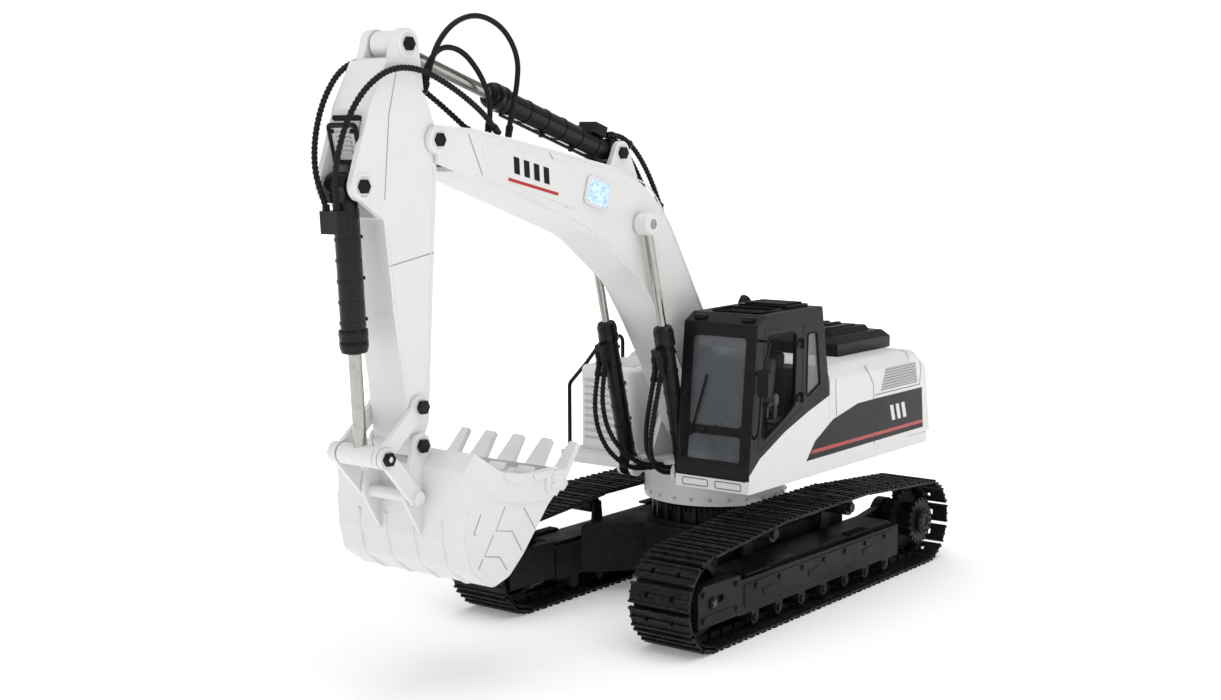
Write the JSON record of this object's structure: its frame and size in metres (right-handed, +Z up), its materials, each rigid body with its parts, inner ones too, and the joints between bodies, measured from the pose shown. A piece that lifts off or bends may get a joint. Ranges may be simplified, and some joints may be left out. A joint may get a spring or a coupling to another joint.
{
  "type": "toy excavator",
  "caption": "Tracked toy excavator with slewing house, boom, stick and bucket worked by coupled cylinders.",
  "frame": {"origin": "on the ground, halfway between the rear of the tracks and the front of the bucket cylinder, on the centre plane", "axes": "+X forward to the bucket, +Y to the left (the cab side), +Z up"},
  "size_m": [0.5723, 0.205, 0.4096],
  "materials": {
    "black_metal": "satin black paint",
    "track_shoe": "blackened metal",
    "wheel_metal": "satin black",
    "white_paint": "satin white paint",
    "black_plastic": "satin black plastic",
    "tinted_glass": "grey tinted clear plastic",
    "seat_plastic": "dark grey",
    "bolt_black": "blackened steel",
    "lamp": "clear lens on a white housing",
    "hose_rubber": "ribbed black rubber",
    "grey_plastic": "light grey",
    "cylinder_black": "gloss black",
    "rod_steel": "ground bright rod"
  },
  "bodies": {
    "undercarriage": {"carbody": "black_metal", "slew_ring": "black_metal", "track_frame_left": "black_metal", "idler_yoke_left": "black_metal", "track_chain_left": "track_shoe", "track_frame_right": "black_metal", "idler_yoke_right": "black_metal", "track_chain_right": "track_shoe"},
    "sprocket_left_body": {"sprocket_left": "wheel_metal"},
    "idler_left_body": {"idler_left": "wheel_metal"},
    "carrier_roller_left_1_body": {"carrier_roller_left_1": "wheel_metal"},
    "carrier_roller_left_2_body": {"carrier_roller_left_2": "wheel_metal"},
    "bottom_roller_left_1_body": {"bottom_roller_left_1": "wheel_metal"},
    "bottom_roller_left_2_body": {"bottom_roller_left_2": "wheel_metal"},
    "bottom_roller_left_3_body": {"bottom_roller_left_3": "wheel_metal"},
    "bottom_roller_left_4_body": {"bottom_roller_left_4": "wheel_metal"},
    "bottom_roller_left_5_body": {"bottom_roller_left_5": "wheel_metal"},
    "bottom_roller_left_6_body": {"bottom_roller_left_6": "wheel_metal"},
    "bottom_roller_left_7_body": {"bottom_roller_left_7": "wheel_metal"},
    "sprocket_right_body": {"sprocket_right": "wheel_metal"},
    "idler_right_body": {"idler_right": "wheel_metal"},
    "carrier_roller_right_1_body": {"carrier_roller_right_1": "wheel_metal"},
    "carrier_roller_right_2_body": {"carrier_roller_right_2": "wheel_metal"},
    "bottom_roller_right_1_body": {"bottom_roller_right_1": "wheel_metal"},
    "bottom_roller_right_2_body": {"bottom_roller_right_2": "wheel_metal"},
    "bottom_roller_right_3_body": {"bottom_roller_right_3": "wheel_metal"},
    "bottom_roller_right_4_body": {"bottom_roller_right_4": "wheel_metal"},
    "bottom_roller_right_5_body": {"bottom_roller_right_5": "wheel_metal"},
    "bottom_roller_right_6_body": {"bottom_roller_right_6": "wheel_metal"},
    "bottom_roller_right_7_body": {"bottom_roller_right_7": "wheel_metal"},
    "house": {"platform": "white_paint", "turret_skirt": "white_paint", "house_pins": "bolt_black", "house_covers": "white_paint", "counterweight": "white_paint", "engine_hood": "black_plastic", "cab_frame": "black_plastic", "cab_glass": "tinted_glass", "cab_interior": "seat_plastic", "cab_mirror": "black_plastic", "side_tank": "white_paint", "handrail": "black_plastic"},
    "boom": {"boom": "white_paint", "boom_pins": "bolt_black", "boom_lamps": "lamp", "boom_back_hoses": "hose_rubber"},
    "stick": {"stick": "white_paint", "stick_pins": "bolt_black", "motor_box": "grey_plastic", "stick_hoses": "hose_rubber"},
    "bucket": {"bucket": "white_paint"},
    "rocker": {"rocker_arms": "white_paint"},
    "links": {"bucket_links": "white_paint"},
    "boom_barrels": {"boom_cylinder_barrels": "cylinder_black", "cylinder_hoses": "hose_rubber"},
    "boom_rods": {"boom_cylinder_rods": "rod_steel"},
    "stick_barrel": {"stick_cylinder_barrel": "cylinder_black"},
    "stick_rod": {"stick_cylinder_rod": "rod_steel"},
    "bucket_barrel": {"bucket_cylinder_barrel": "cylinder_black"},
    "bucket_rod": {"bucket_cylinder_rod": "rod_steel"}
  },
  "joints": [
    {"name": "sprocket_left_turn", "type": "hinge", "parent": "undercarriage", "child": "sprocket_left_body", "pos_m": [-0.2509, 0.0788, 0.0331], "axis": [0, 1, 0], "continuous": true},
    {"name": "idler_left_turn", "type": "hinge", "parent": "undercarriage", "child": "idler_left_body", "pos_m": [0.0467, 0.0788, 0.0331], "axis": [0, 1, 0], "continuous": true},
    {"name": "carrier_roller_left_1_turn", "type": "hinge", "parent": "undercarriage", "child": "carrier_roller_left_1_body", "pos_m": [-0.0431, 0.0788, 0.061], "axis": [0, 1, 0], "continuous": true},
    {"name": "carrier_roller_left_2_turn", "type": "hinge", "parent": "undercarriage", "child": "carrier_roller_left_2_body", "pos_m": [-0.1491, 0.0788, 0.061], "axis": [0, 1, 0], "continuous": true},
    {"name": "bottom_roller_left_1_turn", "type": "hinge", "parent": "undercarriage", "child": "bottom_roller_left_1_body", "pos_m": [-0.0081, 0.0788, 0.0107], "axis": [0, 1, 0], "continuous": true},
    {"name": "bottom_roller_left_2_turn", "type": "hinge", "parent": "undercarriage", "child": "bottom_roller_left_2_body", "pos_m": [-0.0385, 0.0788, 0.0107], "axis": [0, 1, 0], "continuous": true},
    {"name": "bottom_roller_left_3_turn", "type": "hinge", "parent": "undercarriage", "child": "bottom_roller_left_3_body", "pos_m": [-0.0689, 0.0788, 0.0107], "axis": [0, 1, 0], "continuous": true},
    {"name": "bottom_roller_left_4_turn", "type": "hinge", "parent": "undercarriage", "child": "bottom_roller_left_4_body", "pos_m": [-0.0993, 0.0788, 0.0107], "axis": [0, 1, 0], "continuous": true},
    {"name": "bottom_roller_left_5_turn", "type": "hinge", "parent": "undercarriage", "child": "bottom_roller_left_5_body", "pos_m": [-0.1297, 0.0788, 0.0107], "axis": [0, 1, 0], "continuous": true},
    {"name": "bottom_roller_left_6_turn", "type": "hinge", "parent": "undercarriage", "child": "bottom_roller_left_6_body", "pos_m": [-0.1601, 0.0788, 0.0107], "axis": [0, 1, 0], "continuous": true},
    {"name": "bottom_roller_left_7_turn", "type": "hinge", "parent": "undercarriage", "child": "bottom_roller_left_7_body", "pos_m": [-0.1905, 0.0788, 0.0107], "axis": [0, 1, 0], "continuous": true},
    {"name": "sprocket_right_turn", "type": "hinge", "parent": "undercarriage", "child": "sprocket_right_body", "pos_m": [-0.2509, -0.0788, 0.0331], "axis": [0, 1, 0], "continuous": true},
    {"name": "idler_right_turn", "type": "hinge", "parent": "undercarriage", "child": "idler_right_body", "pos_m": [0.0467, -0.0788, 0.0331], "axis": [0, 1, 0], "continuous": true},
    {"name": "carrier_roller_right_1_turn", "type": "hinge", "parent": "undercarriage", "child": "carrier_roller_right_1_body", "pos_m": [-0.0431, -0.0788, 0.061], "axis": [0, 1, 0], "continuous": true},
    {"name": "carrier_roller_right_2_turn", "type": "hinge", "parent": "undercarriage", "child": "carrier_roller_right_2_body", "pos_m": [-0.1491, -0.0788, 0.061], "axis": [0, 1, 0], "continuous": true},
    {"name": "bottom_roller_right_1_turn", "type": "hinge", "parent": "undercarriage", "child": "bottom_roller_right_1_body", "pos_m": [-0.0081, -0.0788, 0.0107], "axis": [0, 1, 0], "continuous": true},
    {"name": "bottom_roller_right_2_turn", "type": "hinge", "parent": "undercarriage", "child": "bottom_roller_right_2_body", "pos_m": [-0.0385, -0.0788, 0.0107], "axis": [0, 1, 0], "continuous": true},
    {"name": "bottom_roller_right_3_turn", "type": "hinge", "parent": "undercarriage", "child": "bottom_roller_right_3_body", "pos_m": [-0.0689, -0.0788, 0.0107], "axis": [0, 1, 0], "continuous": true},
    {"name": "bottom_roller_right_4_turn", "type": "hinge", "parent": "undercarriage", "child": "bottom_roller_right_4_body", "pos_m": [-0.0993, -0.0788, 0.0107], "axis": [0, 1, 0], "continuous": true},
    {"name": "bottom_roller_right_5_turn", "type": "hinge", "parent": "undercarriage", "child": "bottom_roller_right_5_body", "pos_m": [-0.1297, -0.0788, 0.0107], "axis": [0, 1, 0], "continuous": true},
    {"name": "bottom_roller_right_6_turn", "type": "hinge", "parent": "undercarriage", "child": "bottom_roller_right_6_body", "pos_m": [-0.1601, -0.0788, 0.0107], "axis": [0, 1, 0], "continuous": true},
    {"name": "bottom_roller_right_7_turn", "type": "hinge", "parent": "undercarriage", "child": "bottom_roller_right_7_body", "pos_m": [-0.1905, -0.0788, 0.0107], "axis": [0, 1, 0], "continuous": true},
    {"name": "slew", "type": "hinge", "parent": "undercarriage", "child": "house", "pos_m": [-0.1021, 0, 0.0695], "axis": [0, 0, 1], "continuous": true},
    {"name": "boom_lift", "type": "hinge", "parent": "house", "child": "boom", "pos_m": [-0.0721, 0, 0.126], "axis": [0, -1, 0], "range_deg": [-23, 5]},
    {"name": "boom_barrel_tilt", "type": "hinge", "parent": "house", "child": "boom_barrels", "pos_m": [-0.0277, 0, 0.0985], "axis": [0, -1, 0], "range_deg": [-22.8, 5.7], "deforming": ["cylinder_hoses"]},
    {"name": "boom_rod_slide", "type": "slide", "parent": "boom_barrels", "child": "boom_rods", "axis": [0.2455, 0, 0.9694], "range_m": [-0.0214, 0.00543]},
    {"name": "stick_swing", "type": "hinge", "parent": "boom", "child": "stick", "pos_m": [0.2128, 0, 0.3337], "axis": [0, -1, 0], "range_deg": [-12, 35], "deforming": ["stick_hoses"]},
    {"name": "stick_barrel_tilt", "type": "hinge", "parent": "boom", "child": "stick_barrel", "pos_m": [0.028, 0, 0.3244], "axis": [0, -1, 0], "range_deg": [-2.6, 5.7], "deforming": ["boom_back_hoses"]},
    {"name": "stick_rod_slide", "type": "slide", "parent": "stick_barrel", "child": "stick_rod", "axis": [0.9553, 0, 0.2957], "range_m": [-0.03197, 0.01162]},
    {"name": "bucket_curl", "type": "hinge", "parent": "stick", "child": "bucket", "pos_m": [0.2316, 0, 0.1555], "axis": [0, -1, 0], "range_deg": [-12, 80]},
    {"name": "rocker_swing", "type": "hinge", "parent": "stick", "child": "rocker", "pos_m": [0.2312, 0, 0.1784], "axis": [0, -1, 0], "range_deg": [-9.6, 58.6]},
    {"name": "link_swing", "type": "hinge", "parent": "rocker", "child": "links", "pos_m": [0.2629, 0, 0.1525], "axis": [0, -1, 0], "range_deg": [-28.6, 5.1]},
    {"name": "bucket_rod_swing", "type": "hinge", "parent": "rocker", "child": "bucket_rod", "pos_m": [0.2629, 0, 0.1525], "axis": [0, -1, 0], "range_deg": [-54.6, 9]},
    {"name": "bucket_barrel_slide", "type": "slide", "parent": "bucket_rod", "child": "bucket_barrel", "axis": [0.0559, 0, 0.9984], "range_m": [-0.03945, 0.00677]}
  ],
  "couplings": [
    {"joint": "idler_left_turn", "follows": "sprocket_left_turn", "ratio": 1},
    {"joint": "carrier_roller_left_1_turn", "follows": "sprocket_left_turn", "ratio": 4.7167},
    {"joint": "carrier_roller_left_2_turn", "follows": "sprocket_left_turn", "ratio": 4.7167},
    {"joint": "bottom_roller_left_1_turn", "follows": "sprocket_left_turn", "ratio": 7.8611},
    {"joint": "bottom_roller_left_2_turn", "follows": "sprocket_left_turn", "ratio": 7.8611},
    {"joint": "bottom_roller_left_3_turn", "follows": "sprocket_left_turn", "ratio": 7.8611},
    {"joint": "bottom_roller_left_4_turn", "follows": "sprocket_left_turn", "ratio": 7.8611},
    {"joint": "bottom_roller_left_5_turn", "follows": "sprocket_left_turn", "ratio": 7.8611},
    {"joint": "bottom_roller_left_6_turn", "follows": "sprocket_left_turn", "ratio": 7.8611},
    {"joint": "bottom_roller_left_7_turn", "follows": "sprocket_left_turn", "ratio": 7.8611},
    {"joint": "idler_right_turn", "follows": "sprocket_right_turn", "ratio": 1},
    {"joint": "carrier_roller_right_1_turn", "follows": "sprocket_right_turn", "ratio": 4.7167},
    {"joint": "carrier_roller_right_2_turn", "follows": "sprocket_right_turn", "ratio": 4.7167},
    {"joint": "bottom_roller_right_1_turn", "follows": "sprocket_right_turn", "ratio": 7.8611},
    {"joint": "bottom_roller_right_2_turn", "follows": "sprocket_right_turn", "ratio": 7.8611},
    {"joint": "bottom_roller_right_3_turn", "follows": "sprocket_right_turn", "ratio": 7.8611},
    {"joint": "bottom_roller_right_4_turn", "follows": "sprocket_right_turn", "ratio": 7.8611},
    {"joint": "bottom_roller_right_5_turn", "follows": "sprocket_right_turn", "ratio": 7.8611},
    {"joint": "bottom_roller_right_6_turn", "follows": "sprocket_right_turn", "ratio": 7.8611},
    {"joint": "bottom_roller_right_7_turn", "follows": "sprocket_right_turn", "ratio": 7.8611},
    {"joint": "boom_barrel_tilt", "follows": "boom_lift", "ratio": 0.9494},
    {"joint": "boom_rod_slide", "follows": "boom_lift", "m_per_rad": 0.050818},
    {"joint": "stick_barrel_tilt", "follows": "stick_swing", "ratio": 0.1333},
    {"joint": "stick_rod_slide", "follows": "stick_swing", "m_per_rad": -0.050693},
    {"joint": "rocker_swing", "follows": "bucket_curl", "ratio": 0.7194},
    {"joint": "link_swing", "follows": "bucket_curl", "ratio": -0.3452},
    {"joint": "bucket_rod_swing", "follows": "bucket_curl", "ratio": -0.6706},
    {"joint": "bucket_barrel_slide", "follows": "bucket_curl", "m_per_rad": -0.02754}
  ]
}
